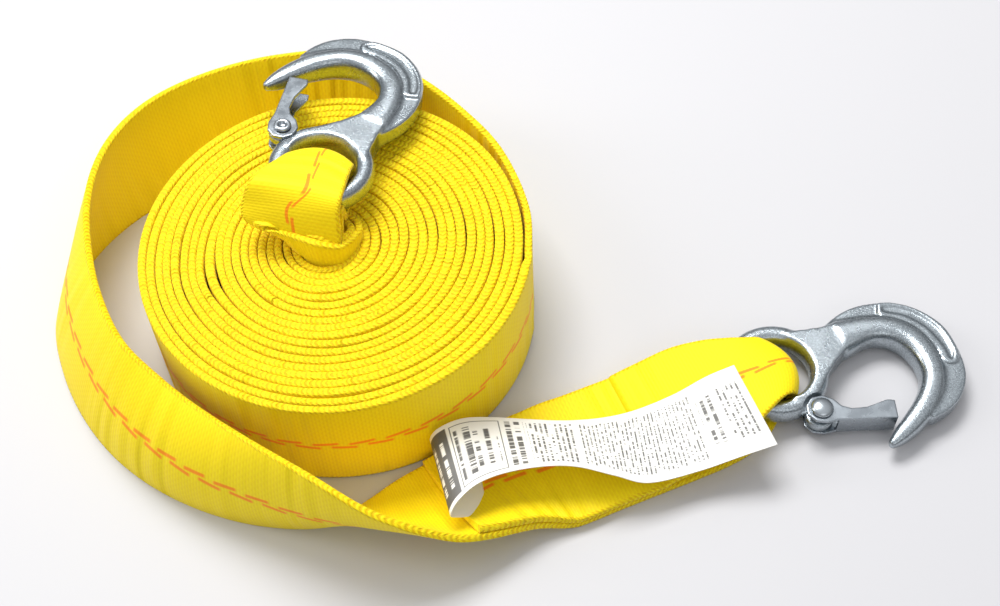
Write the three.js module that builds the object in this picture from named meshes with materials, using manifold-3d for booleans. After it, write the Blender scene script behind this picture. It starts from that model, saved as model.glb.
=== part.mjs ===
// Tow strap rolled on edge, with a forged safety hook sewn into each end.
// Millimetres, +Z up. The floor is Z = 0.
import * as THREE from 'three';
import Module from 'manifold-3d';
import { mergeVertices } from 'three/addons/utils/BufferGeometryUtils.js';

// Webbing
const strapWidth = 50.8;
const strapThick = 2.8;
const plyPitch = 3.1;

// Roll, a turned solid with its bore
const rollOuterR = 75.4;
const boreR = 17;
const turnPitch = 3.05;
const grooveDepth = 0.9;
const rollSides = 36;

// Hook forging, in its own plan: u towards the crown, v away from the mouth, w up
const eyeHoleR = 13.2;
const eyeBarWide = 7.6;
const eyeBarThick = 10;
const flangeThick = 7.5;
const padThick = 9.4;
const pivotU = 14.5;
const pivotV = -19.5;
const shaftR = 2.2;
const fitGap = 0.3;

// Where the two eyes lie, the way their hooks point, and how they tip down at the crown
// and roll to one side. The first hook lies on the roll, the second beside it.
const eyeOne = { x: -3.2, y: 25.1, z: strapWidth + 13.3, turn: 76.6, tip: 5.9, roll: 4.4 };
const eyeTwo = { x: rollOuterR + 94.1, y: 29.9 - rollOuterR, z: 8.6, turn: 0, tip: 2, roll: 0 };
const tailTurn = 20;

// The origin stands on the floor under the middle of the whole object
const originShift = [-61.35, 5];

const rad = THREE.MathUtils.degToRad;
const vec = (x, y, z) => new THREE.Vector3(x, y, z);

const wasm = await Module();
wasm.setup();

// Solid for booleans from a closed geometry
function solidOf(geometry) {
  const bare = geometry.clone();
  bare.deleteAttribute('normal');
  bare.deleteAttribute('uv');
  const merged = mergeVertices(bare, 1e-4);
  const mesh = new wasm.Mesh({
    numProp: 3,
    vertProperties: new Float32Array(merged.attributes.position.array),
    triVerts: new Uint32Array(merged.index.array),
  });
  return new wasm.Manifold(mesh);
}

function geometryOf(solid) {
  const mesh = solid.getMesh();
  const geometry = new THREE.BufferGeometry();
  geometry.setAttribute('position', new THREE.BufferAttribute(mesh.vertProperties, 3));
  geometry.setIndex(new THREE.BufferAttribute(mesh.triVerts, 1));
  return geometry;
}

// Closed geometry from a list of points and triangles
function meshFrom(points, triangles) {
  const geometry = new THREE.BufferGeometry();
  const flat = points.flatMap((p) => [p.x, p.y, p.z]);
  geometry.setAttribute('position', new THREE.Float32BufferAttribute(flat, 3));
  geometry.setIndex(triangles);
  return geometry;
}

// Normals of a grid of points, along each row's travel and across it
function gridNormals(rows) {
  return rows.map((row, i) =>
    row.map((p, j) => {
      const before = rows[Math.max(i - 1, 0)][j];
      const after = rows[Math.min(i + 1, rows.length - 1)][j];
      const left = row[Math.max(j - 1, 0)];
      const right = row[Math.min(j + 1, row.length - 1)];
      const along = after.clone().sub(before);
      const across = right.clone().sub(left);
      return along.cross(across).normalize();
    }),
  );
}

// A sheet of even thickness laid on a grid of points
function sheet(rows, thick) {
  const normals = gridNormals(rows);
  const count = rows[0].length;
  const points = [];
  for (const side of [0.5, -0.5]) {
    rows.forEach((row, i) =>
      row.forEach((p, j) => points.push(p.clone().addScaledVector(normals[i][j], thick * side))),
    );
  }
  const low = rows.length * count;
  const at = (i, j) => i * count + j;
  const triangles = [];
  const quad = (a, b, c, d) => triangles.push(a, b, c, a, c, d);
  for (let i = 0; i < rows.length - 1; i += 1) {
    for (let j = 0; j < count - 1; j += 1) {
      quad(at(i, j), at(i + 1, j), at(i + 1, j + 1), at(i, j + 1));
      quad(low + at(i, j), low + at(i, j + 1), low + at(i + 1, j + 1), low + at(i + 1, j));
    }
    const e = count - 1;
    quad(at(i, 0), low + at(i, 0), low + at(i + 1, 0), at(i + 1, 0));
    quad(at(i, e), at(i + 1, e), low + at(i + 1, e), low + at(i, e));
  }
  const n = rows.length - 1;
  for (let j = 0; j < count - 1; j += 1) {
    quad(at(0, j), at(0, j + 1), low + at(0, j + 1), low + at(0, j));
    quad(at(n, j), low + at(n, j), low + at(n, j + 1), at(n, j + 1));
  }
  return meshFrom(points, triangles);
}

// A bar lofted through sections across its path, closed at both ends
function loftSections(sections) {
  const count = sections[0].length;
  const points = sections.flat();
  const triangles = [];
  for (let i = 0; i < sections.length - 1; i += 1) {
    for (let j = 0; j < count; j += 1) {
      const k = (j + 1) % count;
      const a = i * count + j;
      const b = i * count + k;
      triangles.push(a, b, b + count, a, b + count, a + count);
    }
  }
  const last = (sections.length - 1) * count;
  for (let j = 1; j < count - 1; j += 1) {
    triangles.push(0, j + 1, j);
    triangles.push(last, last + j, last + j + 1);
  }
  return meshFrom(points, triangles);
}

// Rounded section of a forging: half width across, half thickness up
function forgedSection(count, halfWide, halfThick) {
  return Array.from({ length: count }, (_, k) => {
    const a = ((k + 0.5) / count) * Math.PI * 2;
    const c = Math.cos(a);
    const s = Math.sin(a);
    const round = 0.62;
    return [
      halfWide * Math.sign(c) * Math.abs(c) ** round,
      halfThick * Math.sign(s) * Math.abs(s) ** round,
    ];
  });
}

function plateFrom(outline, thick, middle = 0, holes = []) {
  const shape = new THREE.Shape(outline.map(([u, v]) => new THREE.Vector2(u, v)));
  for (const [u, v, r] of holes) {
    const hole = new THREE.Path();
    hole.absarc(u, v, r, 0, Math.PI * 2, true);
    shape.holes.push(hole);
  }
  const plate = new THREE.ExtrudeGeometry(shape, {
    depth: thick,
    bevelEnabled: false,
    curveSegments: 8,
  });
  return plate.translate(0, 0, middle - thick / 2);
}

function discAt(u, v, radius, thick, middle, sides = 20) {
  const disc = new THREE.CylinderGeometry(radius, radius, thick, sides);
  return disc.rotateX(Math.PI / 2).translate(u, v, middle);
}

const strapCloth = () =>
  new THREE.MeshStandardMaterial({ color: 0xf2dc12, roughness: 0.78, metalness: 0 });
const zincSteel = () =>
  new THREE.MeshStandardMaterial({ color: 0xc3c8cc, roughness: 0.32, metalness: 1 });
const whiteSatin = () =>
  new THREE.MeshStandardMaterial({ color: 0xf3f3f0, roughness: 0.6, metalness: 0 });

const strap = new THREE.Group();
function add(name, geometry, material, parent = strap) {
  const mesh = new THREE.Mesh(geometry, material);
  mesh.name = name;
  parent.add(mesh);
  return mesh;
}

// Roll: the wound turns, one turned solid, with a groove between turns on both ends
const rollProfile = [];
const turns = Math.round((rollOuterR - boreR) / turnPitch);
for (let k = 0; k <= turns; k += 1) {
  const r = boreR + ((rollOuterR - boreR) * k) / turns;
  rollProfile.push([r, grooveDepth * 0.35]);
  if (k < turns) rollProfile.push([r + turnPitch * 0.5, 0]);
}
rollProfile.splice(-1, 1, [rollOuterR - 0.9, 0], [rollOuterR, 0]);
const rollTop = rollProfile.map(([r, z]) => [r, strapWidth - z]).reverse();
const rollLoop = [...rollProfile, ...rollTop, rollProfile[0]];
const roll = new THREE.LatheGeometry(
  rollLoop.map(([r, z]) => new THREE.Vector2(r, z)),
  rollSides,
);
add('strap_roll', roll.rotateX(Math.PI / 2), strapCloth());

// Loose lap: stations round the roll, each with its distance off the roll's outer face,
// the lean of the band and its cup. The first ones lie against the roll.
// [angle, distance off the roll, lean outwards in degrees, cup across the width in degrees]
const lapOffRoll = fitGap * 3 + strapThick / 2;
const lapStations = [
  ...[-62, -42, -22, -2, 18].map((angle) => [angle, lapOffRoll, 0, 0]),
  [32.5, 3.6, 0, 1],
  [51.4, 6.4, 3, 4],
  [70.7, 12.5, 11, 6],
  [87.6, 19.7, 21, 5],
  [103.5, 23.3, 23, -2],
  [119.1, 27.6, 23, -10],
  [133.9, 32.8, 16, -18],
  [148.2, 36.4, 2, -25],
  [161.9, 37.2, -13, -28],
  [175.8, 34.9, -27, -18],
  [189.8, 30.1, -29, -18],
  [205.1, 26.2, -28, -24],
  [220.1, 24.0, -29, -52],
  [236.1, 23.3, -23, -65],
  [251.9, 24.5, -10, -55],
  [266.1, 28.8, 8, -60],
  [278.1, 30.7, 37, -68],
  [290.2, 29.0, 65, -51],
  [305.2, 28.6, 82, -24],
].map(([angle, off, lean, cup]) => {
  const r = rollOuterR + off;
  return [r * Math.cos(rad(angle)), r * Math.sin(rad(angle)), lean, cup];
});
const across = [-0.5, -0.25, 0, 0.25, 0.5];

// Points across the band from its floor edge to its top edge
function bandRow(x, y, heading, lean, cup) {
  const out = vec(heading.y, -heading.x, 0);
  const l = rad(lean);
  const c = Math.abs(cup) < 0.5 ? 0.01 : rad(cup);
  return across.map((m) => {
    const rise = (strapWidth * (Math.sin(l + c * m) - Math.sin(l))) / c;
    const reach = (-strapWidth * (Math.cos(l + c * m) - Math.cos(l))) / c;
    return vec(x, y, rise).addScaledVector(out, reach);
  });
}

// Lets a row of the band down until its lowest point rests on the floor
function restOnFloor(rows) {
  const normals = gridNormals(rows);
  rows.forEach((row, i) => {
    const low = Math.min(...row.map((p, j) => p.z - (Math.abs(normals[i][j].z) * strapThick) / 2));
    row.forEach((p) => {
      p.z -= low;
    });
  });
  return rows;
}

const lapPath = new THREE.CatmullRomCurve3(
  lapStations.map(([x, y]) => vec(x, y, 0)),
  false,
  'catmullrom',
  0.5,
);
const lapShape = new THREE.CatmullRomCurve3(
  lapStations.map(([, , lean, cup]) => vec(lean, cup, 0)),
  false,
  'catmullrom',
  0.5,
);
const lapRows = [];
const lapSteps = 52;
for (let k = 0; k <= lapSteps; k += 1) {
  const t = k / lapSteps;
  const p = lapPath.getPoint(t);
  const heading = lapPath.getTangent(t);
  const s = lapShape.getPoint(t);
  lapRows.push(bandRow(p.x, p.y, heading, s.x, s.y));
}

// Tail: the doubled end lying on the floor, in the strap's own line towards the eye
// [s along the strap, z, half width, how far the row bows forward in its middle]
const floorPly = [
  [-96, 1.4, 25.4, 0],
  [-78, 1.4, 25.4, 0],
  [-60, 1.4, 25.4, 0],
  [-46, 1.4, 25.4, 0],
  [-32, 1.4, 25.0, 0],
  [-20, 1.4, 23.0, 1],
  [-10, 1.4, 18.5, 3],
  [-3, 1.6, 14.0, 4.5],
];
const eyeBight = [
  [1.0, 3.2, 12.2, 5],
  [3.0, 6.2, 11.6, 5],
  [3.6, 9.4, 11.6, 5],
  [2.6, 12.6, 12.2, 5],
  [0.0, 15.2, 13.0, 5],
];
const topPly = [
  [-5, 16.4, 14.5, 4],
  [-13, 16.8, 17.5, 2],
  [-22, 16.4, 21.0, 1],
  [-32, 12.6, 24.0, 0],
  [-42, 7.6, 25.2, 0],
  [-52, 4.8, 25.4, 0],
];
const along = vec(Math.cos(rad(tailTurn)), Math.sin(rad(tailTurn)), 0);
const outward = vec(along.y, -along.x, 0);
const bowed = (s, m, bow) => s + bow * (1 - (2 * m) ** 2) - bow * 0.35;
const tailPoint = (s, side, z) =>
  vec(eyeTwo.x, eyeTwo.y, z).addScaledVector(along, s).addScaledVector(outward, side);
const tailRow = ([s, z, half, bow]) =>
  across.map((m) => tailPoint(bowed(s, m, bow), 2 * m * half, z));
const underRows = restOnFloor(restOnFloor([...lapRows, ...floorPly.map(tailRow)]));
const doubledRows = lapSteps + 5;
const underNormals = gridNormals(underRows);
const returnRows = [];
for (let i = doubledRows - 2; i >= lapSteps - 1; i -= 1) {
  returnRows.push(
    underRows[i].map((p, j) => p.clone().addScaledVector(underNormals[i][j], -plyPitch)),
  );
}
const tailRows = [...underRows, ...eyeBight.map(tailRow), ...topPly.map(tailRow), ...returnRows];
add('strap_tail', sheet(tailRows, strapThick), strapCloth());

// Inner end: half a turn in the bore, a twist up over the roll, and the bight in the eye
const edgeRow = ([a, b]) => across.map((m) => a.clone().lerp(b, m + 0.5));
const leadInBore = [180, 140, 100, 60, 20, -20, -60].map((a) => {
  const r = boreR - 6;
  const x = r * Math.cos(rad(a));
  const y = r * Math.sin(rad(a));
  const lift = Math.max(0, (20 - a) / 80) * 8;
  return [vec(x, y, strapWidth - 0.4 + lift), vec(x, y, 0.4 + lift)];
});
// [left edge x, y, height above the roll's top, right edge x, y, the same height]
const leadTwist = [
  [-4.1, -8, 9, 0.5, -11, -40.5],
  [-10.5, -5.4, 9.2, -0.4, -11, -32.5],
  [-19, -1.2, 9.8, 0.4, -10.6, -19.5],
  [-26.5, 1.2, 10.6, 2, -9, -4.5],
  [-32, 4, 13.2, 3.4, -6, 7.2],
  [-31.6, 7.4, 18.2, 3.8, -1.5, 17.6],
].map(([ax, ay, az, bx, by, bz]) => [
  vec(ax, ay, strapWidth + az),
  vec(bx, by, strapWidth + bz),
]);
// In the first hook's own frame
// [s along the strap, height over the eye's middle, left and right half width, bow]
const leadTop = [
  [-20, 7.2, 22.0, 12.6, 1],
  [-13, 7.5, 19.2, 12.4, 2],
  [-5, 7.1, 14.8, 12.4, 4],
];
const leadBight = [
  [0.0, 6.0, 12.4, 12.2, 5],
  [2.6, 3.5, 11.6, 11.6, 5],
  [3.4, 0.3, 11.4, 11.4, 5],
  [2.4, -2.9, 11.6, 11.6, 5],
  [-1.0, -6.5, 12.2, 12.2, 5],
];
const leadUnder = [
  [-7, -8.2, 12.8, 12.8, 4],
  [-14, -8.8, 13.4, 13.4, 2],
];
function eyeFrame(eye) {
  const frame = new THREE.Group();
  frame.position.set(eye.x, eye.y, eye.z);
  frame.rotation.set(rad(eye.roll), rad(eye.tip), rad(eye.turn), 'ZYX');
  frame.updateMatrixWorld();
  return frame;
}
const leadFrame = eyeFrame(eyeOne);
const leadRow = ([s, h, left, right, bow]) =>
  across.map((m) =>
    leadFrame.localToWorld(vec(bowed(s, m, bow), -2 * m * (m < 0 ? left : right), h)),
  );
const leadRows = [
  ...leadInBore.map(edgeRow),
  ...leadTwist.map(edgeRow),
  ...leadTop.map(leadRow),
  ...leadBight.map(leadRow),
  ...leadUnder.map(leadRow),
];
add('strap_lead', sheet(leadRows, strapThick), strapCloth());

// Label: a satin strip that comes back over itself in a loop and lies along the tail
// [far edge s along the tail, side, z, near edge s, side, z]
const labelThick = 0.5;
const labelRows = [
  [-98.8, -19.5, 7.8, -104.8, 14.5, 10.0],
  [-110.4, -22.6, 9.2, -116.2, 13.6, 15.0],
  [-122.1, -22.6, 12.5, -128.2, 14.5, 19.0],
  [-131.9, -22.0, 16.0, -137.7, 14.3, 21.0],
  [-136.7, -20.5, 20.0, -141.8, 13.8, 24.0],
  [-133.2, -21.4, 24.0, -137.6, 11.1, 27.0],
  [-123.2, -22.5, 23.0, -129.0, 7.9, 27.5],
  [-111.7, -22.0, 17.0, -117.9, 6.6, 25.5],
  [-97.3, -17.8, 12.0, -103.7, 8.6, 23.5],
  [-84.1, -13.1, 9.5, -91.5, 13.0, 22.0],
  [-70.7, -8.8, 9.0, -79.3, 20.6, 19.0],
  [-56.8, -6.3, 9.2, -67.6, 26.5, 14.5],
  [-40.2, -5.1, 12.5, -46.0, 28.5, 13.0],
  [-25.7, -4.0, 18.0, -29.0, 31.5, 17.0],
  [-14.3, -3.1, 20.4, -15.2, 34.4, 20.4],
].map(([as, aside, az, bs, bside, bz]) =>
  edgeRow([tailPoint(as, aside, az), tailPoint(bs, bside, bz)]),
);
add('label', sheet(labelRows, labelThick), whiteSatin());

// Hook forging: the tapered bowl, its eye, the web between them and the outer flange
// [u, v, width, thickness] along the middle of the bowl
const bowlStations = [
  [27, 14, 16, 12],
  [38, 17.2, 11.5, 12.6],
  [47, 17, 11, 13],
  [54.3, 13, 11, 13],
  [59.3, 5.5, 10.5, 13],
  [61, -3, 9.8, 13],
  [59.6, -10.5, 9.6, 12.4],
  [55.6, -18, 9.4, 11.4],
  [49.6, -25, 8.4, 9.6],
  [43.6, -30.6, 6.2, 7.2],
  [39.2, -34.4, 2.8, 3.6],
];
function bowlBar() {
  const path = new THREE.CatmullRomCurve3(bowlStations.map(([u, v]) => vec(u, v, 0)));
  const size = new THREE.CatmullRomCurve3(bowlStations.map(([, , w, t]) => vec(w, t, 0)));
  const steps = 18;
  const sections = [];
  for (let k = 0; k <= steps; k += 1) {
    const t = (k / steps) * (bowlStations.length - 1);
    const i = Math.min(Math.floor(t), bowlStations.length - 2);
    const f = (i + (t - i)) / (bowlStations.length - 1);
    const middle = path.getPoint(f);
    const heading = path.getTangent(f);
    const wide = size.getPoint(f);
    sections.push(
      forgedSection(12, wide.x / 2, wide.y / 2).map(([a, b]) =>
        vec(middle.x - heading.y * a, middle.y + heading.x * a, b),
      ),
    );
  }
  return loftSections(sections);
}
function eyeRing() {
  const middleR = eyeHoleR + eyeBarWide / 2;
  const profile = forgedSection(10, eyeBarWide / 2, eyeBarThick / 2);
  const loop = [...profile, profile[0]].map(([a, b]) => new THREE.Vector2(middleR + a, b));
  return new THREE.LatheGeometry(loop, 32).rotateX(Math.PI / 2);
}
const webOutline = [
  [5, 16],
  [12, 17],
  [20, 18],
  [32, 20.8],
  [38, 22],
  [37, 13],
  [30, 8.6],
  [24, 2.2],
  [18, -6.4],
  [13.6, -13],
  [10, -14.4],
  [4, -14],
];
const flangeOuter = [
  [20.5, 18.4],
  [29, 25],
  [38.5, 28.8],
  [50.5, 29.2],
  [61, 25.4],
  [69.6, 17],
  [73.4, 5],
  [73.8, -5.5],
  [70.4, -14.4],
  [64.6, -20.6],
  [57.5, -24.6],
];
const flangeInner = [
  [53, -21],
  [58, -13],
  [60.6, -3],
  [59, 6],
  [54, 13],
  [47, 17],
  [37, 17.4],
  [27, 15],
];
const padOutline = [
  [44.6, 28.6],
  [51, 28.4],
  [60, 24.9],
  [68.4, 17],
  [72.2, 6],
  [71.6, 0.5],
  [69, -1],
  [66, 0],
  [64.4, 6],
  [60, 14],
  [53, 20],
  [44.6, 22.6],
];
const panelOutline = [
  [46.6, 27],
  [51, 26.8],
  [58.6, 23.4],
  [66.4, 15.6],
  [69.8, 5.6],
  [69.4, 1.6],
  [68, 2],
  [66.4, 7],
  [61.6, 15.6],
  [54.4, 21.6],
  [46.6, 24.2],
];
function smoothOutline(list, count) {
  const path = new THREE.CatmullRomCurve3(list.map(([u, v]) => vec(u, v, 0)));
  return path.getPoints(count).map((p) => [p.x, p.y]);
}
const latchZone = 7.2;
const earLow = -3.3;
const earHigh = 0.6;

function forging() {
  const hole = discAt(0, 0, eyeHoleR + 0.6, 30, 0, 32);
  const web = solidOf(plateFrom(webOutline, 11)).subtract(solidOf(hole));
  const flange = plateFrom([...smoothOutline(flangeOuter, 22), ...flangeInner], flangeThick);
  let body = solidOf(bowlBar()).add(solidOf(eyeRing())).add(web).add(solidOf(flange));
  body = body.add(solidOf(plateFrom(padOutline, padThick)));
  for (const face of [1, -1]) {
    const recess = plateFrom(panelOutline, 2, face * (padThick / 2 + 0.5));
    body = body.subtract(solidOf(recess));
  }
  const above = discAt(pivotU, pivotV, latchZone, 10, earHigh + 5, 24);
  const below = discAt(pivotU, pivotV, latchZone, 10, earLow - 5, 24);
  body = body.subtract(solidOf(above)).subtract(solidOf(below));
  const ear = discAt(pivotU, pivotV, 5.6, earHigh - earLow, (earHigh + earLow) / 2, 20);
  body = body.add(solidOf(ear));
  const bore = discAt(pivotU, pivotV, shaftR + fitGap, 30, 0, 16);
  return geometryOf(body.subtract(solidOf(bore)));
}

// Latch: a bent channel, its two wings astride the ear and its web on the outside
const wingInner = 3.6;
const wingThick = 1.3;
const wingOutline = [
  [43.2, -24.3],
  [43.2, -16.8],
  [40.4, -16.4],
  [32, -19.6],
  [26, -19.8],
  [22.4, -18.6],
  [19.8, -15.4],
  [15.6, -13.3],
  [11.2, -14.3],
  [8.6, -17.6],
  [8.8, -21.8],
  [11.6, -25],
  [16, -25.7],
  [21, -24.3],
];
function latchPlate() {
  const span = wingInner * 2 + wingThick * 2;
  const web = [
    [20.5, -24.6],
    [43.2, -24.6],
    [43.2, -23.2],
    [20.5, -23.2],
  ];
  let body = solidOf(plateFrom(web, span));
  for (const side of [1, -1]) {
    const wing = plateFrom(wingOutline, wingThick, side * (wingInner + wingThick / 2));
    body = body.add(solidOf(wing));
  }
  const bore = discAt(pivotU, pivotV, shaftR + fitGap, 30, 0, 16);
  return geometryOf(body.subtract(solidOf(bore)));
}

// Rivet: the shaft, a domed head on one face and a rolled rim on the other
function pivotRivet() {
  const top = wingInner + wingThick + fitGap;
  const profile = [
    [0, -top - 0.5],
    [1.3, -top - 0.5],
    [1.7, -top - 1.2],
    [2.8, -top - 1.2],
    [3.5, -top - 0.6],
    [3.5, -top],
    [shaftR, -top],
    [shaftR, top],
    [4.4, top],
    [4.3, top + 0.8],
    [3.2, top + 1.5],
    [1.6, top + 1.9],
    [0, top + 2.0],
  ];
  const body = new THREE.LatheGeometry(
    profile.map(([r, z]) => new THREE.Vector2(r, z)),
    18,
  );
  return body.rotateX(Math.PI / 2).translate(pivotU, pivotV, 0);
}

// Latch spring: a turn and a half of wire round the shaft, and a leg along the latch
function latchSpring() {
  const points = [];
  const coilR = 3.6;
  const steps = 22;
  for (let k = 0; k <= steps; k += 1) {
    const a = rad(-90 - 540 * (1 - k / steps));
    points.push(
      vec(pivotU + coilR * Math.cos(a), pivotV + coilR * Math.sin(a), 1.5 + (1.3 * k) / steps),
    );
  }
  points.push(vec(pivotU + 5, pivotV - 2.8, 2.8));
  points.push(vec(pivotU + 10, pivotV - 2.4, 2.7));
  points.push(vec(pivotU + 17, pivotV - 2.3, 2.6));
  const wire = new THREE.Shape();
  wire.absarc(0, 0, 0.4, 0, Math.PI * 2, false);
  return new THREE.ExtrudeGeometry(wire, {
    steps: 44,
    curveSegments: 3,
    bevelEnabled: false,
    extrudePath: new THREE.CatmullRomCurve3(points),
  });
}

// One hook: face up on the floor, or turned face down on top of the roll
function placeHook(prefix, eye, faceDown) {
  const frame = eyeFrame(eye);
  const flip = new THREE.Group();
  flip.rotation.x = faceDown ? Math.PI : 0;
  frame.add(flip);
  add(`${prefix}_forging`, forging(), zincSteel(), flip);
  add(`${prefix}_latch`, latchPlate(), zincSteel(), flip);
  add(`${prefix}_rivet`, pivotRivet(), zincSteel(), flip);
  add(`${prefix}_spring`, latchSpring(), zincSteel(), flip);
  strap.add(frame);
}
placeHook('hook_1', eyeOne, true);
placeHook('hook_2', eyeTwo, false);

strap.position.set(originShift[0], originShift[1], 0);

const whole = new THREE.Group();
whole.add(strap);

export default whole;
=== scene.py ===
import math

import bpy
import numpy as np
from mathutils import Matrix, Vector


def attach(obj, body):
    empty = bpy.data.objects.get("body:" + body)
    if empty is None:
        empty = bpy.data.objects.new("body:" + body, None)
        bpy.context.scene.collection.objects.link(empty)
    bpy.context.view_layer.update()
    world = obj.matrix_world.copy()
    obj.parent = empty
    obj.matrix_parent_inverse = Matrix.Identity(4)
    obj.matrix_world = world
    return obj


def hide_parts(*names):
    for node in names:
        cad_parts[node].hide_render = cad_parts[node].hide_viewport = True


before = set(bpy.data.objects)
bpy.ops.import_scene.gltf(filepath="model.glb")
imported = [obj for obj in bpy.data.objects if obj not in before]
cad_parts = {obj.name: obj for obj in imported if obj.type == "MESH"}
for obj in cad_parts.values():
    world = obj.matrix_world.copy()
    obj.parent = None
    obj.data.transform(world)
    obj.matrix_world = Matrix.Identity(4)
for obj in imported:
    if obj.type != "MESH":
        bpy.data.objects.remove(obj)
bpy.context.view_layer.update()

# Table, light and camera. The strap lies on a pale table under large soft boxes, one
# overhead and behind it and one at the left, and is seen from in front and above.
floor_mesh = bpy.data.meshes.new("table_top")
floor_mesh.from_pydata([(-4, -4, 0), (4, -4, 0), (4, 4, 0), (-4, 4, 0)], [], [(0, 1, 2, 3)])
floor = bpy.data.objects.new("table_top", floor_mesh)
bpy.context.scene.collection.objects.link(floor)


def linear(code):
    """Linear colour of an sRGB hex code."""
    parts = [int(code[i:i + 2], 16) / 255 for i in (1, 3, 5)]
    return [c / 12.92 if c <= 0.04045 else ((c + 0.055) / 1.055) ** 2.4 for c in parts] + [1.0]


class Finish:
    """A material under construction, with its nodes added and wired one by one."""

    def __init__(self, name, **settings):
        self.material = bpy.data.materials.new(name)
        self.material.use_nodes = True
        self.nodes = self.material.node_tree.nodes
        self.links = self.material.node_tree.links
        self.shader = self.nodes["Principled BSDF"]
        for socket, value in settings.items():
            self.shader.inputs[socket.replace("_", " ")].default_value = value

    def feed(self, socket, value):
        if hasattr(value, "links"):
            self.links.new(value, socket)
        else:
            socket.default_value = value

    def add(self, kind, inputs=(), **properties):
        node = self.nodes.new(kind)
        for key, value in properties.items():
            setattr(node, key, value)
        for key, value in dict(inputs).items():
            self.feed(node.inputs[key], value)
        return node

    def math(self, operation, *values):
        inputs = dict(enumerate(values))
        return self.add("ShaderNodeMath", inputs, operation=operation).outputs[0]

    def ramp(self, value, low, high, to_low=0.0, to_high=1.0):
        inputs = {0: value, 1: low, 2: high, 3: to_low, 4: to_high}
        return self.add("ShaderNodeMapRange", inputs).outputs[0]

    def wave(self, value, length, shift=0.0):
        turns = self.math("ADD", self.math("MULTIPLY", value, 2 * math.pi / length), shift)
        return self.math("SINE", turns)

    def band(self, value, low, high, soft):
        """One between low and high, nought outside."""
        return self.math("MULTIPLY", self.ramp(value, low - soft, low + soft),
                         self.ramp(value, high + soft, high - soft))

    def mix(self, factor, a, b, kind="RGBA"):
        node = self.add("ShaderNodeMix", data_type=kind)
        first = 6 if kind == "RGBA" else 2
        for index, value in ((0, factor), (first, a), (first + 1, b)):
            self.feed(node.inputs[index], value)
        return node.outputs[2 if kind == "RGBA" else 0]

    def noise(self, place, scale=1.0, detail=2.0, roughness=0.5):
        inputs = {"Vector": place, "Scale": scale, "Detail": detail, "Roughness": roughness}
        return self.add("ShaderNodeTexNoise", inputs).outputs[0]

    def place(self, x, y, z=0.0):
        return self.add("ShaderNodeCombineXYZ", {0: x, 1: y, 2: z}).outputs[0]

    def cloth_place(self):
        """Metres along the cloth and metres across it from its middle."""
        seat = self.add("ShaderNodeUVMap", uv_map="UVMap").outputs[0]
        split = self.add("ShaderNodeSeparateXYZ", {0: seat})
        return split.outputs[0], split.outputs[1]

    def bump(self, height, distance, strength=1.0, under=None):
        inputs = {"Height": height, "Distance": distance, "Strength": strength}
        if under is not None:
            inputs["Normal"] = under
        return self.add("ShaderNodeBump", inputs).outputs[0]

    def done(self, color=None, roughness=None, normal=None):
        for name, value in (("Base Color", color), ("Roughness", roughness), ("Normal", normal)):
            if value is not None:
                self.feed(self.shader.inputs[name], value)
        return self.material


table = Finish("pale_table_paint", Roughness=0.6)
floor_mesh.materials.append(table.done(color=linear("#c8c7c9")))


def soft_box(name, place, aim, size, power):
    lamp = bpy.data.lights.new(name, "AREA")
    lamp.shape = "RECTANGLE"
    lamp.size, lamp.size_y = size
    lamp.energy = power
    holder = bpy.data.objects.new(name, lamp)
    holder.location = place
    holder.rotation_euler = (Vector(aim) - Vector(place)).to_track_quat("-Z", "Y").to_euler()
    bpy.context.scene.collection.objects.link(holder)


soft_box("overhead_box", (-0.2, 0.55, 1.2), (0, 0, 0), (0.8, 0.5), 17)
soft_box("left_box", (-1.2, 0.15, 0.75), (0, 0, 0.03), (0.4, 0.8), 4.5)
soft_box("front_box", (0.35, -1.1, 1.0), (0, 0, 0.02), (0.8, 0.5), 1.2)
surround = bpy.data.worlds.new("studio")
surround.use_nodes = True
sky = surround.node_tree.nodes
glow = sky["Background"]
look_way = sky.new("ShaderNodeTexCoord")
height_of = sky.new("ShaderNodeSeparateXYZ")
fade = sky.new("ShaderNodeMapRange")
surround.node_tree.links.new(look_way.outputs["Generated"], height_of.inputs[0])
surround.node_tree.links.new(height_of.outputs[2], fade.inputs[0])
surround.node_tree.links.new(fade.outputs[0], glow.inputs[1])
for index, value in ((1, 0.1), (2, 0.95), (3, 0.22), (4, 0.85)):
    fade.inputs[index].default_value = value
glow.inputs[0].default_value = linear("#f7f9fc")
bpy.context.scene.world = surround
bpy.context.scene.view_settings.view_transform = "Standard"

camera = bpy.data.objects.new("camera", bpy.data.cameras.new("camera"))
camera.data.sensor_width = 36
camera.data.lens = 57.6
down, roll = math.radians(55.31), math.radians(-3.27)
ahead = Vector((0, math.cos(down), -math.sin(down)))
level = Vector((1, 0, 0))
over = level.cross(ahead)
side_way = level * math.cos(roll) + over * math.sin(roll)
up_way = over * math.cos(roll) - level * math.sin(roll)
camera.matrix_world = Matrix.Translation((0.0019, -0.37008, 0.54422)) @ Matrix(
    (side_way, up_way, -ahead)).transposed().to_4x4()
bpy.context.scene.collection.objects.link(camera)
bpy.context.scene.camera = camera

# Strap: one length of 2 in polyester webbing, 6.1 m long, woven in yellow with two dashed
# tracer yarns down one face. It is wound on edge, and its two ends are folded back and
# sewn to make the loops that hold the hooks.
STRAP_WIDE = 50.8
STRAP_THICK = 2.9
PLY_PITCH = 3.15
ROLL_AXIS = np.array([-61.35, 5.0, 0.0])
EDGE_STEPS = 5
across = np.linspace(-0.5, 0.5, 13) * (1 - STRAP_THICK / STRAP_WIDE)


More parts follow.
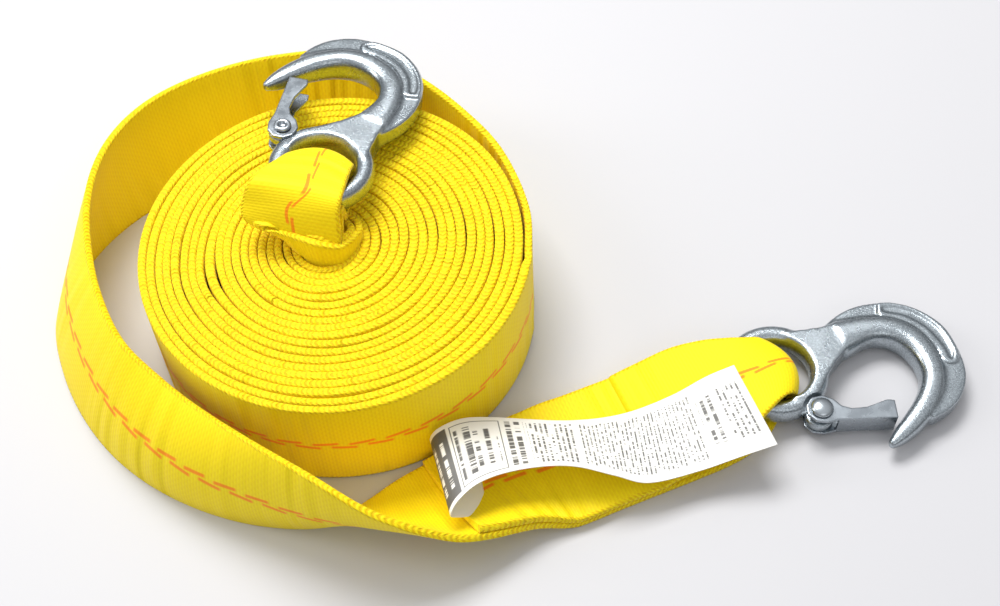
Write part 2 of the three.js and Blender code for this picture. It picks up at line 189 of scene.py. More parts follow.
def through(control, count):
    """Points on the smooth curve through control points, count of them to each span."""
    control = np.asarray(control, float)
    spans = len(control) - 1
    padded = np.concatenate([2 * control[:1] - control[1:2], control,
                             2 * control[-1:] - control[-2:-1]])
    t = np.linspace(0, spans, spans * count + 1)
    i = np.minimum(t.astype(int), spans - 1)
    f = (t - i).reshape((-1,) + (1,) * (control.ndim - 1))
    a, b, c, d = (padded[i + k] for k in range(4))
    return 0.5 * (2 * b + (c - a) * f + (2 * a - 5 * b + 4 * c - d) * f ** 2
                  + (3 * b - a - 3 * c + d) * f ** 3)


def face_normals(rows):
    """Normals of rows of points, out of the face that carries the tracer yarns."""
    normal = np.cross(np.gradient(rows, axis=0), np.gradient(rows, axis=1))
    return normal / np.linalg.norm(normal, axis=2, keepdims=True)


def lowered(rows, thick):
    """Rows let down until the lowest point of each touches the table."""
    for _ in range(2):
        drop = rows[:, :, 2] - abs(face_normals(rows)[:, :, 2]) * thick / 2
        rows[:, :, 2] -= drop.min(axis=1)[:, None]
    return rows


def leaning_rows(stations):
    """Rows across the band from stations of x, y, lean outwards and cup in degrees."""
    lean, cup = np.radians(stations[:, 2:3]), np.radians(stations[:, 3:4])
    cup = np.where(abs(cup) < 0.01, 0.01, cup)
    heading = np.gradient(stations[:, :2], axis=0)
    heading /= np.linalg.norm(heading, axis=1, keepdims=True)
    rise = STRAP_WIDE * (np.sin(lean + cup * across) - np.sin(lean)) / cup
    reach = -STRAP_WIDE * (np.cos(lean + cup * across) - np.cos(lean)) / cup
    x = stations[:, :1] + heading[:, 1:] * reach
    y = stations[:, 1:2] - heading[:, :1] * reach
    return np.stack([x, y, rise], axis=2)


def edge_rows(pairs):
    """Straight rows between a first edge point and a second edge point."""
    pairs = np.asarray(pairs, float)
    share = (across / across[-1] * 0.5 + 0.5)[None, :, None]
    return pairs[:, None, :3] * (1 - share) + pairs[:, None, 3:] * share


def turned(place, turn, tip=0.0, roll=0.0):
    """A frame at a place in millimetres, turned, tipped down ahead and rolled, in degrees."""
    return (Matrix.Translation(place) @ Matrix.Rotation(math.radians(turn), 4, "Z")
            @ Matrix.Rotation(math.radians(tip), 4, "Y")
            @ Matrix.Rotation(math.radians(roll), 4, "X"))


def loop_rows(seat, stations):
    """Rows of a strap end in its eye: distance along, height, two half widths and bow."""
    stations = np.asarray(stations, float)
    share = across / across[-1]
    reach = stations[:, 0:1] + stations[:, 4:5] * (0.65 - share ** 2)
    half = np.where(share < 0, stations[:, 2:3], stations[:, 3:4])
    height = np.repeat(stations[:, 1:2], len(share), axis=1)
    local = np.stack([reach, -half * share, height, np.ones_like(height)], axis=2)
    return (local @ np.array(seat).T)[:, :, :3]


# The wound turns, from the bore out. The bore lies a little left of the middle, and in a
# few sectors two turns stand apart and leave a slit.
start_angle, last_angle = math.radians(300), math.radians(350 + 18 * 360)
BORE_R, BORE_SHIFT, ROLL_R = 12.2, 3.6, 75.6
ROW_STEP = 4.0
# Slits: middle and reach in degrees, share of the way out where each begins, and width
SLITS = ((197, 14, 0.530, 0.7), (196, 12, 0.585, 0.5), (268, 24, 0.790, 0.6),
         (272, 13, 0.890, 0.5))


def turn_radius(angle):
    """Distance of the wound band from the roll's axis at an angle since the first turn."""
    inner = BORE_R + BORE_SHIFT * np.cos(angle - math.pi)
    share = (angle - start_angle) / (last_angle - start_angle)
    wander = 0.16 * np.sin(angle * 1.31 + 0.6) + 0.12 * np.sin(angle * 2.77 + 2.0)
    wander = wander * np.clip(share * 8, 0, 1) * np.clip((1 - share) * 8, 0, 1)
    for middle, reach, first_share, wide in SLITS:
        sector = np.exp(-((np.degrees(angle) % 360 - middle) / reach) ** 2)
        wander = wander + wide * sector * np.clip((share - first_share) * 400, 0, 1) * np.clip(
            (1 - share) / (1 - first_share), 0, 1)
    return inner + (ROLL_R - inner) * share + wander


angles = [start_angle]
while angles[-1] < last_angle:
    angles.append(angles[-1] + ROW_STEP / turn_radius(angles[-1]))
angles = np.array(angles[:-1])
radius = turn_radius(angles)
# The turns stand at slightly uneven heights, and the first one is drawn up out of the bore
uneven = (0.38 * np.sin(angles * 0.83 + 1.3) + 0.3 * np.sin(angles * 2.17 + 0.4)
          + 0.2 * np.sin(angles * 5.3 + 2.2)) * 0.8
lifted = 8.2 * np.clip(1 - (angles - start_angle) / math.radians(230), 0, 1) ** 1.4
height = (across[None, :] + 0.5) * STRAP_WIDE + lifted[:, None] + uneven[:, None] * (
    across[None, :] + 0.5)
first_turn = np.degrees(angles - start_angle)
flare = np.interp(first_turn, [0, 20, 55, 80, 120, 160], [-2.0, -1.5, 0, 2.5, 1.0, 0])
spread = radius[:, None] + flare[:, None] * np.clip(across[None, :] + 0.5, 0, 1) ** 1.5
turn_rows = np.stack([spread * np.cos(angles)[:, None], spread * np.sin(angles)[:, None],
                      height], axis=2)
room = np.minimum(turn_radius(angles + 2 * math.pi) - radius,
                  radius - turn_radius(angles - 2 * math.pi))
turn_thick = np.clip(0.98 * room, STRAP_THICK, 3.6)
turn_thick[first_turn < 300] = STRAP_THICK

# Inner end: the strap climbs out of the bore, turns over towards the first hook, goes up
# through its eye and comes back on top of itself. The two plies are sewn together.
EYE_ONE = turned((-3.2, 25.1, 64.1), 76.6, 5.9, 4.4)
end_fold = edge_rows([
    (-3.2, -4.8, 59.6, -0.6, -8.4, 10.3), (-9.5, -2.2, 59.8, -1.5, -8.8, 18.3),
    (-18, 1.0, 60.6, 0.6, -8.6, 31.3), (-26.5, 2.0, 61.6, 2.0, -7.6, 46.3),
    (-32, 3.6, 64.5, 3.4, -5, 58.5), (-31.6, 7.4, 69.0, 3.8, -1.0, 68.6)])[:, ::-1]
end_top = loop_rows(EYE_ONE, [
    (-20, 7.4, 22.0, 12.6, 1), (-13, 7.8, 19.2, 12.4, 2), (-5, 7.3, 14.8, 12.4, 4),
    (0.0, 6.0, 12.4, 12.2, 5), (2.6, 3.5, 11.6, 11.6, 5), (3.4, 0.3, 11.4, 11.4, 5),
    (2.4, -2.9, 11.6, 11.6, 5), (-1.0, -6.5, 12.2, 12.2, 5), (-7, -8.2, 12.8, 12.8, 4),
    (-14, -8.4, 13.4, 13.4, 2)])[:, ::-1]
inside_turn = turn_rows[30::-3] - PLY_PITCH * face_normals(turn_rows)[30::-3]
end_marks = np.concatenate([inside_turn, end_fold, end_top])
cut_end = through(end_marks, 7)
# The strap itself lies under its folded end, and opens away from it by the eye
fold_last = len(inside_turn) + len(end_fold) - 1
apart = np.interp(np.arange(len(end_marks)), [fold_last - 2, fold_last - 1, fold_last],
                  [PLY_PITCH, 4.0, 5.5])
main_marks = end_marks - apart[:, None, None] * face_normals(cut_end)[::7]
main_marks = main_marks[fold_last:len(inside_turn) - 1:-1]
climb = through(np.concatenate([end_marks[-2:], main_marks, turn_rows[[0, 3]]]), 7)[8:-7]
inner_rows = np.concatenate([cut_end, climb])

# Loose lap: stations round the roll of angle, distance off it, lean and cup
lap_marks = np.array([
    (-9, 0.6, 0, 0), (10, 1.2, 0, 0), (32.5, 3.6, 0, 1), (51.4, 6.4, 3, 4),
    (70.7, 12.5, 11, 6), (87.6, 19.7, 21, 5), (103.5, 23.3, 23, -2), (119.1, 27.6, 23, -10),
    (133.9, 32.8, 16, -18), (148.2, 36.4, 2, -25), (161.9, 37.2, -13, -28),
    (175.8, 34.9, -27, -18), (189.8, 30.1, -29, -18), (205.1, 26.2, -28, -24),
    (220.1, 24.0, -29, -52), (236.1, 23.3, -23, -65), (251.9, 24.5, -10, -55),
    (266.1, 28.8, 8, -60), (278.1, 30.7, 37, -68), (290.2, 29.0, 65, -51),
    (305.2, 28.6, 82, -24)], float)
lap_turn, lap_reach = np.radians(lap_marks[:, 0]), 75.4 + lap_marks[:, 1]
lap_marks[:, 0], lap_marks[:, 1] = lap_reach * np.cos(lap_turn), lap_reach * np.sin(lap_turn)
lap_rows = leaning_rows(through(lap_marks, 22))

# Tail: flat on the table to the second hook, through its eye and back on top of itself
TAIL = turned((169.5, -45.5, 0), 20)
floor_ply = loop_rows(TAIL, [
    (-96, 1.5, 25.4, 25.4, 0), (-78, 1.5, 25.4, 25.4, 0), (-60, 1.5, 25.4, 25.4, 0),
    (-46, 1.5, 25.4, 25.4, 0), (-32, 1.5, 25.0, 25.0, 0), (-20, 1.5, 23.0, 23.0, 1),
    (-10, 1.5, 18.5, 18.5, 3), (-3, 1.7, 14.0, 14.0, 4.5)])
tail_part = through(np.concatenate([lap_rows[[-23, -1]], floor_ply]), 14)[14:]
under_rows = lowered(np.concatenate([lap_rows[:-1], tail_part]), STRAP_THICK)
# The folded end lies back on the strap from the eye to just short of the twist
back_from, back_to = len(lap_rows) + 3 * 14, len(lap_rows) - 18
return_ply = (under_rows - PLY_PITCH * face_normals(under_rows))[back_to:back_from]
bight_two = loop_rows(TAIL, [
    (1.0, 3.2, 12.2, 12.2, 5), (3.0, 6.2, 11.6, 11.6, 5), (3.6, 9.4, 11.6, 11.6, 5),
    (2.6, 12.6, 12.2, 12.2, 5), (0.0, 15.2, 13.0, 13.0, 5), (-5, 16.4, 14.5, 14.5, 4),
    (-13, 16.4, 17.5, 17.5, 2), (-22, 15.0, 21.0, 21.0, 1), (-34, 11.9, 24.4, 24.4, 0),
    (-47, 8.4, 25.3, 25.3, 0), (-58, 6.0, 25.4, 25.4, 0)])
bight_rows = through(np.concatenate([under_rows[-15::14], bight_two, return_ply[[-1, -15]]]), 12)
strap_rows = np.concatenate([
    inner_rows, turn_rows, under_rows, bight_rows[25:-13], return_ply[::-1]])
strap_thick = np.full(len(strap_rows), STRAP_THICK)
strap_thick[len(inner_rows):len(inner_rows) + len(turn_rows)] = turn_thick


def cloth_band(name, rows, thick, wide):
    """A closed band with rounded edges, and a map of metres along and across it."""
    rows = rows + ROLL_AXIS
    thick = np.broadcast_to(np.asarray(thick, float), (len(rows),))[:, None]
    normal = face_normals(rows)
    rim = []
    for column, inner, sign in ((0, 1, -1), (-1, -2, 1)):
        away = rows[:, column] - rows[:, inner]
        away /= np.linalg.norm(away, axis=1, keepdims=True)
        for k in range(1, EDGE_STEPS + 1):
            turn = math.pi * k / (EDGE_STEPS + 1)
            out = 0.6 * math.sin(turn) ** 0.6
            up = sign * math.copysign(abs(math.cos(turn)) ** 0.5, math.cos(turn))
            rim.append(rows[:, column] + thick / 2 * (away * out + normal[:, column] * up))
    top = [rows[:, j] + normal[:, j] * thick / 2 for j in range(rows.shape[1])]
    low = [rows[:, j] - normal[:, j] * thick / 2 for j in range(rows.shape[1])]
    ring = top + rim[EDGE_STEPS:] + low[::-1] + rim[:EDGE_STEPS]
    half = wide / 2 - thick[0, 0] / 2
    flat = np.linspace(-half, half, rows.shape[1])
    bend = [half + thick[0, 0] * 0.78 * (1 - abs(2 * k / (EDGE_STEPS + 1) - 1))
            for k in range(1, EDGE_STEPS + 1)]
    v_map = list(flat) + bend + list(flat[::-1]) + [-b for b in bend]
    face_map = [1.0] * len(flat) + [0.0] * (len(flat) + 2 * EDGE_STEPS)
    points = np.stack(ring, axis=1) / 1000
    count, around = points.shape[:2]
    step = np.linalg.norm(np.diff(rows[:, rows.shape[1] // 2], axis=0), axis=1)
    u_map = np.concatenate([[0], np.cumsum(step)])
    index = np.arange(count * around).reshape(count, around)
    quads = np.stack([index[:-1], index[1:], np.roll(index[1:], -1, axis=1),
                      np.roll(index[:-1], -1, axis=1)], axis=2).reshape(-1, 4)
    ends = [index[0].tolist(), index[-1][::-1].tolist()]
    mesh = bpy.data.meshes.new(name)
    mesh.from_pydata(points.reshape(-1, 3).tolist(), [], quads.tolist() + ends)
    mesh.update()
    side = mesh.attributes.new("outer_face", "FLOAT", "POINT")
    side.data.foreach_set("value", np.tile(face_map, count))
    corner = np.zeros(len(mesh.loops), dtype=np.int64)
    mesh.loops.foreach_get("vertex_index", corner)
    seat = np.stack([u_map[corner // around], np.array(v_map)[corner % around]], axis=1) / 1000
    mesh.uv_layers.new(name="UVMap").data.foreach_set("uv", seat.ravel())
    mesh.polygons.foreach_set("use_smooth", [True] * (len(mesh.polygons) - 2) + [False] * 2)
    piece = bpy.data.objects.new(name, mesh)
    bpy.context.scene.collection.objects.link(piece)
    return piece


strap = cloth_band("strap_webbing", strap_rows, strap_thick, STRAP_WIDE)

webbing = Finish("yellow_polyester_webbing", Roughness=0.6)
webbing.shader.inputs["Sheen Weight"].default_value = 0.06
webbing.shader.inputs["Sheen Roughness"].default_value = 0.4
webbing.shader.inputs["Specular IOR Level"].default_value = 0.22
u, v = webbing.cloth_place()
# Cross ribs, and warp yarns that float over them by turns
rib = webbing.wave(u, 0.00135)
yarn = webbing.math("MULTIPLY", v, 1 / 0.0015)
yarn_odd = webbing.math("MULTIPLY", webbing.math("FLOOR", yarn), math.pi)
yarn_round = webbing.math("ABSOLUTE", webbing.wave(v, 0.0030))
yarn_float = webbing.math("MULTIPLY", yarn_round, webbing.math("SINE", webbing.math(
    "ADD", webbing.math("MULTIPLY", u, 2 * math.pi / 0.0027), yarn_odd)))
weave = webbing.math("ADD", webbing.math("MULTIPLY", rib, 0.45),
                     webbing.math("MULTIPLY", yarn_float, 0.35))
# Both edges are bound by slanting turns of the same yarn
edge_off = webbing.math("ABSOLUTE", v)
on_edge = webbing.ramp(edge_off, 0.0232, 0.0240)
speckle = webbing.noise(webbing.place(webbing.math("MULTIPLY", u, 420), webbing.math(
    "ADD", webbing.math("MULTIPLY", v, 1500), webbing.math("MULTIPLY", u, 620))), 1.0, 1.0)
slant = webbing.math("SINE", webbing.math(
    "ADD", webbing.math("MULTIPLY", u, 2 * math.pi / 0.0019),
    webbing.math("MULTIPLY", edge_off, 2 * math.pi / 0.0034)))
braid = webbing.math("ADD", webbing.math("MULTIPLY", slant, 2.4),
                     webbing.ramp(speckle, 0.25, 0.75, -3.6, 2.6))
texture = webbing.mix(on_edge, weave, braid, "FLOAT")
# Creases across the band, in patches, where it has been folded and pulled
crease_patch = webbing.ramp(webbing.noise(webbing.place(
    webbing.math("MULTIPLY", u, 17), webbing.math("MULTIPLY", v, 9)), 1.0, 1.0), 0.42, 0.66)
crease = webbing.noise(webbing.place(
    webbing.math("MULTIPLY", u, 165), webbing.math("MULTIPLY", v, 11)), 1.0, 0.6)
crease_high = webbing.math("MULTIPLY", webbing.math("SUBTRACT", crease, 0.5), crease_patch)
# Painted shade: the colour follows the height of the weave and of the bound edges, a deeper yellow
# in the low parts and a lighter one on the high parts; the speckle on the edges also gives the
# yarn a random tone
painted_groove_shade = webbing.ramp(texture, -2.6, 0.6)
tone = webbing.mix(painted_groove_shade, linear("#e9be00"), linear("#ffe610"))
cloud = webbing.noise(webbing.place(webbing.math("MULTIPLY", u, 60), webbing.math(
    "MULTIPLY", v, 40)), 1.0, 3.0)
tone = webbing.mix(webbing.ramp(cloud, 0.4, 0.75, 0.0, 0.22), tone, linear("#f4d200"))
# Two tracer yarns on one face, showing in dashes by turns either side of the middle
DASH_PERIOD, TRACER_OFF = 0.0135, 0.0012
tracer = None
for side_of, phase in ((1, 0.0), (-1, 0.5)):
    run = webbing.math("FRACT", webbing.math(
        "ADD", webbing.math("MULTIPLY", u, 1 / DASH_PERIOD), phase))
    drift = webbing.math("MULTIPLY", webbing.math("SUBTRACT", run, 0.37), TRACER_OFF * side_of)
    off_line = webbing.math("ABSOLUTE", webbing.math("SUBTRACT", webbing.math(
        "SUBTRACT", v, TRACER_OFF * side_of), drift))
    line = webbing.math("MULTIPLY", webbing.ramp(off_line, 0.0010, 0.0006),
                        webbing.band(run, 0.03, 0.74, 0.04))
    tracer = line if tracer is None else webbing.math("MAXIMUM", tracer, line)
outer_face = webbing.add("ShaderNodeAttribute", attribute_name="outer_face").outputs["Fac"]
tracer = webbing.math("MULTIPLY", tracer, outer_face)
tone = webbing.mix(webbing.math("MULTIPLY", tracer, 0.9), tone, linear("#ff8a18"))
rumple = webbing.bump(crease_high, 0.0048, 0.9)
knit = webbing.bump(texture, 0.00007, 0.7, rumple)
strap.data.materials.append(webbing.done(color=tone, normal=knit))
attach(strap, "strap")
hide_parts("strap_roll", "strap_tail", "strap_lead")

# Label: a white satin ribbon sewn to the tail by one end. It comes out from under its seam,
# turns over in a loop and lies along the tail with its cut end by the hook.
label_rows = through(edge_rows([
    (50, -65, 7.8, 54, -98, 9.0), (42, -68, 11.5, 48, -103, 14.5), (36, -71.5, 16, 42.5, -106, 20),
    (34, -73, 20.0, 41, -107, 24.0),
    (37, -71, 24.0, 44, -103, 27.0), (46, -66.5, 23.0, 51, -97, 27.5),
    (57, -63, 17.0, 61, -92, 25.5), (72, -62, 12.0, 75, -89, 23.5), (86, -62, 9.5, 88, -89, 22),
    (100, -61.4, 9.0, 102, -92, 19.0), (113, -59, 9.2, 115, -93.5, 14.5),
    (128, -55, 12.5, 134, -89, 13.0), (141, -51, 18.0, 150, -86, 17.0),
    (152, -47.9, 20.4, 163.6, -83.6, 20.4)]), 10)
label = cloth_band("satin_label", label_rows, 0.35, 38)
satin = Finish("white_coated_satin", Roughness=0.45)
u, v = satin.cloth_place()
# The print is laid out from the label's own end, which is hidden in the seam
u = satin.math("ADD", u, 0.0182)
edge_off = satin.math("ABSOLUTE", v)


def print_rows(low, high, pitch, fill, reach, word, seed):
    """Rows of dull word-like dashes that run across the label, stacked along it."""
    step = satin.math("MULTIPLY", u, 1 / pitch)
    row = satin.math("MULTIPLY", satin.math("FLOOR", step), 7.31)
    line = satin.band(satin.math("FRACT", step), 0.5 - fill / 2, 0.5 + fill / 2, 0.06)
    words = satin.noise(satin.place(satin.math("MULTIPLY", v, 1 / word), row, seed), 1.0, 1.0)
    strokes = satin.noise(satin.place(satin.math("MULTIPLY", v, 5.5 / word), row, seed), 1.0, 0.0)
    marks = satin.math("MULTIPLY", satin.ramp(words, 0.40, 0.44), satin.ramp(strokes, 0.34, 0.5))
    inside = satin.math("MULTIPLY", satin.band(u, low, high, 0.0001),
                        satin.ramp(edge_off, reach + 0.0002, reach))
    return satin.math("MULTIPLY", satin.math("MULTIPLY", line, marks), inside)


dark_band = satin.math("MULTIPLY", satin.band(u, 0.038, 0.049, 0.0002),
                       satin.ramp(edge_off, 0.0170, 0.0168))
band_words = print_rows(0.0400, 0.0480, 0.0040, 0.40, 0.0120, 0.0030, 1.7)
ink = satin.math("MULTIPLY", dark_band, satin.math("SUBTRACT", 1.0, band_words))
box_u = satin.math("SUBTRACT", satin.math("ABSOLUTE", satin.math("SUBTRACT", u, 0.0605)), 0.0100)
box_v = satin.math("SUBTRACT", edge_off, 0.0162)
box_line = satin.band(satin.math("MAXIMUM", box_u, box_v), -0.0002, 0.0002, 0.00012)
for part in (
        box_line,
        print_rows(0.0515, 0.0580, 0.0060, 0.62, 0.0135, 0.0060, 2.9),
        print_rows(0.0590, 0.0690, 0.0048, 0.45, 0.0110, 0.0050, 3.3),
        print_rows(0.0725, 0.0800, 0.0036, 0.60, 0.0160, 0.0060, 4.1),
        print_rows(0.0810, 0.0990, 0.0019, 0.45, 0.0155, 0.0040, 5.9),
        print_rows(0.1010, 0.1470, 0.0016, 0.40, 0.0150, 0.0030, 6.3),
        print_rows(0.1490, 0.1560, 0.0030, 0.50, 0.0110, 0.0050, 7.7),
        print_rows(0.1575, 0.1680, 0.0020, 0.42, 0.0120, 0.0035, 8.1)):
    ink = satin.math("MAXIMUM", ink, part)
back_face = satin.add("ShaderNodeAttribute", attribute_name="outer_face").outputs["Fac"]
ink = satin.math("MULTIPLY", satin.math("MULTIPLY", ink, satin.math(
    "SUBTRACT", 1.0, back_face)), 0.88)
satin_tone = satin.mix(ink, linear("#f4f2ec"), linear("#1c1a18"))
satin_bump = satin.bump(satin.wave(u, 0.0005), 0.00003, 0.4)
label.data.materials.append(satin.done(color=satin_tone, normal=satin_bump))
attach(label, "strap")
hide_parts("label")

# Hooks: two like drop forgings with an eye, a tapering bowl and a flange round the back.
# They are shot blasted and zinc plated, and one lies face down on the roll.
BOWL = [(27, 14, 16, 12), (38, 17.2, 11.5, 12.6), (47, 17, 11, 13), (54.3, 13, 11, 13),
        (59.3, 5.5, 10.5, 13), (61, -3, 9.8, 13), (59.6, -10.5, 9.6, 12.4),
        (55.6, -18, 9.4, 11.4), (49.6, -25, 8.4, 9.6), (43.6, -30.6, 6.2, 7.2),
        (39.2, -34.4, 2.8, 3.6)]
WEB = [(5, 16), (12, 17), (20, 18), (32, 20.8), (38, 22), (37, 13), (30, 8.6), (24, 2.2),
       (18, -6.4), (13.6, -13), (10, -14.4), (4, -14)]
FLANGE_OUT = [(20.5, 18.4), (29, 25), (38.5, 28.8), (50.5, 29.2), (61, 25.4), (69.6, 17),
              (73.4, 5), (73.8, -5.5), (70.4, -14.4), (64.6, -20.6), (57.5, -24.6)]
FLANGE_IN = [(53, -21), (58, -13), (60.6, -3), (59, 6), (54, 13), (47, 17), (37, 17.4),
             (27, 15)]
PAD = [(44.6, 28.6), (51, 28.4), (60, 24.9), (68.4, 17), (72.2, 6), (71.6, 0.5), (69, -1),
       (66, 0), (64.4, 6), (60, 14), (53, 20), (44.6, 22.6)]
PANEL = [(46.4, 27), (51, 26.8), (58.9, 23.5), (66.7, 15.8), (70.3, 5.6), (69.8, 1.6),
         (68.4, 1.4), (66.9, 7), (62, 15.9), (54.6, 21.9), (46.4, 24.4)]
PIVOT = (14.5, -19.5)
EYE_HOLE = 13.2


def circle(centre, radius, count, first=0.0, last=2 * math.pi):
    turns = [first + (last - first) * k / count for k in range(count)]
    return [(centre[0] + radius * math.cos(t), centre[1] + radius * math.sin(t)) for t in turns]


class Solid:
    """Points and faces of closed shapes, gathered piece by piece."""

    def __init__(self):
        self.points, self.faces = [], []

    def loft(self, sections):
        """A skin over closed sections in order, with a face on each end."""
        first, count = len(self.points), len(sections[0])
        for section in sections:
            self.points.extend(tuple(p) for p in section)
        last = first + (len(sections) - 1) * count
        for i in range(len(sections) - 1):
            for j in range(count):
                a, b = first + i * count + j, first + i * count + (j + 1) % count
                self.faces.append((a, b, b + count, a + count))
        self.faces.append(tuple(first + j for j in range(count))[::-1])
        self.faces.append(tuple(last + j for j in range(count)))
        return self

    def plate(self, outline, low, high):
        """A flat plate with that outline, from the height low to high."""
        area = sum(a[0] * b[1] - b[0] * a[1] for a, b in zip(outline, outline[1:] + outline[:1]))
        ring = outline if area > 0 else outline[::-1]
        return self.loft([[(x, y, z) for x, y in ring] for z in (low, high)])

    def turned_ring(self, radius, section, steps=96):
        """A section of distances and heights turned about the upright axis."""
        first, count = len(self.points), len(section)
        for i in range(steps):
            turn = 2 * math.pi * i / steps
            self.points.extend(((radius + a) * math.cos(turn), (radius + a) * math.sin(turn), b)
                               for a, b in section)
        for i in range(steps):
            for j in range(count):
                a, b = i * count + j, i * count + (j + 1) % count
                c, d = (b + count) % (steps * count), (a + count) % (steps * count)
                self.faces.append((first + a, first + d, first + c, first + b))
        return self

    def turned_solid(self, centre, profile, steps=48):
        """A profile of radii and heights, from one end to the other, turned to a solid."""
        return self.loft([[(x, y, z) for x, y in circle(centre, r, steps)] for r, z in profile])

    def piece(self, name):
        mesh = bpy.data.meshes.new(name)
        mesh.from_pydata(self.points, [], self.faces)
        made = bpy.data.objects.new(name, mesh)
        bpy.context.scene.collection.objects.link(made)
        return made


def settled(piece):
    """The piece with its modifiers made real."""
    view = bpy.context.evaluated_depsgraph_get()
    view.update()
    mesh = bpy.data.meshes.new_from_object(piece.evaluated_get(view))
    piece.modifiers.clear()
    piece.data = mesh
    return piece


def fused(piece, voxel, rounds):
    """The overlapping closed parts of a piece as one skin, with its corners eased."""
    skin = piece.modifiers.new("skin", "REMESH")
    skin.mode = "VOXEL"
    skin.voxel_size = voxel
    ease = piece.modifiers.new("ease", "SMOOTH")
    ease.iterations = rounds
    ease.factor = 0.5
    return settled(piece)


def joined(first, second):
    """Two pieces as one mesh, still overlapping."""
    offset = len(first.data.vertices)
    points = [tuple(p.co) for p in first.data.vertices] + [
        tuple(p.co) for p in second.data.vertices]
    faces = [tuple(f.vertices) for f in first.data.polygons] + [
        tuple(i + offset for i in f.vertices) for f in second.data.polygons]
    mesh = bpy.data.meshes.new(first.name)
    mesh.from_pydata(points, [], faces)
    first.data = mesh
    bpy.data.objects.remove(second)
    return first


def cut(piece, tool):
    """The piece with a closed tool shape taken out of it."""
    bite = piece.modifiers.new("bite", "BOOLEAN")
    bite.operation = "DIFFERENCE"
    bite.solver = "EXACT"
    bite.object = tool
    settled(piece)
    bpy.data.objects.remove(tool)
    return piece


def forged_section(count, half_wide, half_thick, sharp):
    ring = []
    for k in range(count):
        c = math.cos(2 * math.pi * (k + 0.5) / count)
        s = math.sin(2 * math.pi * (k + 0.5) / count)
        ring.append((half_wide * math.copysign(abs(c) ** sharp, c),
                     half_thick * math.copysign(abs(s) ** sharp, s)))
    return ring


def smooth_outline(corners, count):
    return [tuple(p) for p in through(corners, count)]


body = Solid()
sizes = through(BOWL, 6)
heading = np.gradient(sizes[:, :2], axis=0)
heading /= np.linalg.norm(heading, axis=1, keepdims=True)
body.loft([[(x - h[1] * a, y + h[0] * a, b) for a, b in forged_section(32, w / 2, t / 2, 0.7)]
           for (x, y, w, t), h in zip(sizes, heading)])
body.turned_ring(EYE_HOLE + 3.8, forged_section(32, 3.8, 5.0, 0.75))
body.plate(WEB + circle((0, 0), EYE_HOLE + 1.4, 24, math.radians(-74), math.radians(70)),
           -5.4, 5.4)
body.plate(smooth_outline(FLANGE_OUT, 5) + FLANGE_IN, -3.75, 3.75)
forging = fused(body.piece("forging"), 0.6, 9)
rim = Solid()
rim.plate(smooth_outline(PAD, 4), -4.2, 4.2)
outer, inner = smooth_outline(PAD + PAD[:1], 6)[:-1], smooth_outline(PANEL + PANEL[:1], 6)[:-1]
near = [min(inner, key=lambda spot: math.dist(spot, corner)) for corner in outer]
count = len(outer)
for low, high in ((4.0, 4.9), (-4.9, -4.0)):
    first = len(rim.points)
    rim.points.extend((x, y, z) for z in (low, high) for loop in (outer, near) for x, y in loop)
    for j in range(count):
        k = (j + 1) % count
        rim.faces.extend(tuple(first + i for i in face) for face in (
            (k, j, count + j, count + k), (j, k, 2 * count + k, 2 * count + j),
            (2 * count + j, 2 * count + k, 3 * count + k, 3 * count + j),
            (count + k, count + j, 3 * count + j, 3 * count + k)))
forging = fused(joined(forging, rim.piece("pad_rim")), 0.42, 4)
relief = Solid()
relief.loft([[(x, y, z) for x, y in circle(PIVOT, 7.2, 64)] for z in (0.6, 12)])
relief.loft([[(x, y, z) for x, y in circle(PIVOT, 7.2, 64)] for z in (-12, -3.3)])
forging = cut(forging, relief.piece("latch_relief"))
ear = Solid().turned_solid(PIVOT, [(5.2, -3.3), (5.6, -2.9), (5.6, 0.2), (5.2, 0.6)], 64)
forging = joined(forging, ear.piece("ear"))

zinc = Finish("zinc_plated_shot_blasted_steel", Metallic=1.0)
where = zinc.add("ShaderNodeTexCoord").outputs["Object"]
grain = zinc.noise(where, 1700, 3.0, 0.6)
cloud = zinc.noise(where, 120, 3.0, 0.5)
zinc_tone = zinc.mix(zinc.ramp(grain, 0.35, 0.65), linear("#8f979c"), linear("#bcc4c9"))
zinc.done(color=zinc_tone, roughness=zinc.ramp(cloud, 0.3, 0.7, 0.22, 0.31),
          normal=zinc.bump(grain, 0.00012, 0.7))
HOOKS = {
    "hook_1": (EYE_ONE @ Matrix.Rotation(math.pi, 4, "X"), "latch_1"),
    "hook_2": (turned((169.5, -45.5, 8.6), 0, 2), "latch_2"),
}


def fitted(name, source, place, finish, rides, node):
    """A finished copy of a part in its place, riding a body in place of its solid."""
    mesh = source.data.copy()
    mesh.transform(Matrix.Scale(0.001, 4) @ Matrix.Translation(ROLL_AXIS.tolist()) @ place)
    mesh.materials.clear()
    mesh.materials.append(finish)
    mesh.shade_smooth()
    mesh.set_sharp_from_angle(angle=math.radians(50))
    made = bpy.data.objects.new(name, mesh)
    bpy.context.scene.collection.objects.link(made)
    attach(made, rides)
    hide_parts(node)


for hook, (place, latch_body) in HOOKS.items():
    fitted(f"{hook}_body", forging, place, zinc.material, "strap", f"{hook}_forging")
bpy.data.objects.remove(forging)

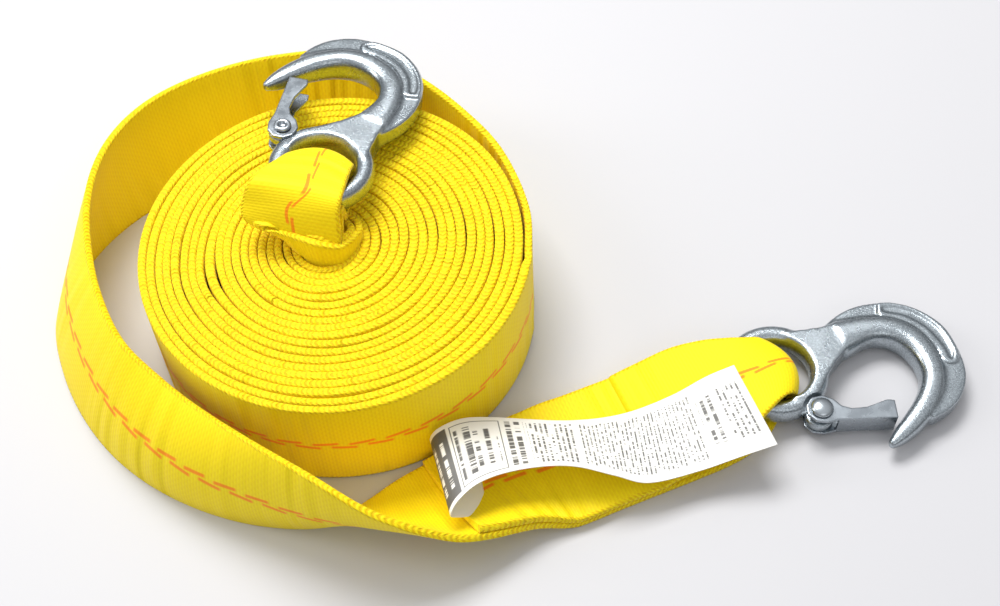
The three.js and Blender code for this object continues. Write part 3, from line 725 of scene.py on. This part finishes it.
# Latch: a channel pressed from 1.3 mm sheet, its two wings astride the ear of the forging
# and its web on the outside. It closes against the inside of the hook's tip.
WING = [(43.2, -24.4), (43.2, -16.8), (40.4, -16.4), (32, -19.4), (26, -19.7), (22.4, -18.4),
        (19.8, -15.4), (15.6, -13.4), (11.2, -14.3), (8.7, -17.6), (8.8, -21.8), (11.6, -24.8),
        (16, -25.6), (21, -24.5)]
channel = Solid()
for low, high in ((3.6, 4.9), (-4.9, -3.6)):
    channel.plate(WING, low, high)
channel.plate([(20.5, -24.6), (43.2, -24.6), (43.2, -23.3), (20.5, -23.3)], -4.9, 4.9)
latch = fused(channel.piece("latch"), 0.26, 3)
sheet_zinc = Finish("zinc_plated_pressed_sheet", Metallic=1.0)
where = sheet_zinc.add("ShaderNodeTexCoord").outputs["Object"]
sheet_zinc.done(
    color=linear("#a3aab0"),
    roughness=sheet_zinc.ramp(sheet_zinc.noise(where, 200, 3.0), 0.3, 0.7, 0.2, 0.34),
    normal=sheet_zinc.bump(sheet_zinc.noise(where, 700, 2.0), 0.00005, 0.5))
for hook, (place, latch_body) in HOOKS.items():
    fitted(f"{hook}_latch_plate", latch, place, sheet_zinc.material, latch_body,
           f"{hook}_latch")
bpy.data.objects.remove(latch)

# Rivet: a plain shaft with a domed head on one face and a rolled rim on the other
rivet = Solid().turned_solid(PIVOT, [
    (0.01, -5.0), (1.0, -5.0), (1.3, -5.3), (1.45, -5.9), (1.8, -6.3), (2.4, -6.42),
    (3.0, -6.3), (3.4, -5.9), (3.5, -5.5), (3.4, -5.2), (2.2, -5.2), (2.2, 5.2), (4.2, 5.2),
    (4.4, 5.4), (4.4, 5.7), (4.0, 6.3), (3.2, 6.8), (2.2, 7.15), (1.0, 7.32), (0.01, 7.36)])
rivet = rivet.piece("rivet")
rivet_zinc = Finish("zinc_plated_rivet_steel", Metallic=1.0, Roughness=0.26)
where = rivet_zinc.add("ShaderNodeTexCoord").outputs["Object"]
rivet_zinc.done(color=linear("#b2b9be"),
                normal=rivet_zinc.bump(rivet_zinc.noise(where, 900, 2.0), 0.00005, 0.5))
for hook, (place, latch_body) in HOOKS.items():
    fitted(f"{hook}_rivet_pin", rivet, place, rivet_zinc.material, "strap",
           f"{hook}_rivet")
bpy.data.objects.remove(rivet)

# Latch spring: 0.8 mm wire, a turn and a half round the shaft and a leg along the latch
wire_path = [(x, y, 1.5 + 1.3 * k / 36) for k, (x, y) in enumerate(
    circle(PIVOT, 3.6, 36, math.radians(-630), math.radians(-90)))]
wire_path += [(PIVOT[0] + 1.5, PIVOT[1] - 3.5, 2.8), (PIVOT[0] + 5, PIVOT[1] - 3, 2.8),
              (PIVOT[0] + 10, PIVOT[1] - 2.4, 2.7), (PIVOT[0] + 17, PIVOT[1] - 2.3, 2.6)]
wire_path = through(wire_path, 3)
way = np.gradient(wire_path, axis=0)
way /= np.linalg.norm(way, axis=1, keepdims=True)
wire_side = np.cross(way, (0, 0, 1))
wire_side /= np.linalg.norm(wire_side, axis=1, keepdims=True)
wire_up = np.cross(wire_side, way)
spring = Solid().loft([[p + 0.4 * (a * s + b * t) for a, b in circle((0, 0), 1, 12)]
                       for p, s, t in zip(wire_path, wire_side, wire_up)])
spring = spring.piece("spring")
wire_steel = Finish("bare_spring_wire", Metallic=1.0, Roughness=0.3)
wire_steel.done(color=linear("#9da1a5"))
for hook, (place, latch_body) in HOOKS.items():
    fitted(f"{hook}_spring_wire", spring, place, wire_steel.material, latch_body,
           f"{hook}_spring")
bpy.data.objects.remove(spring)
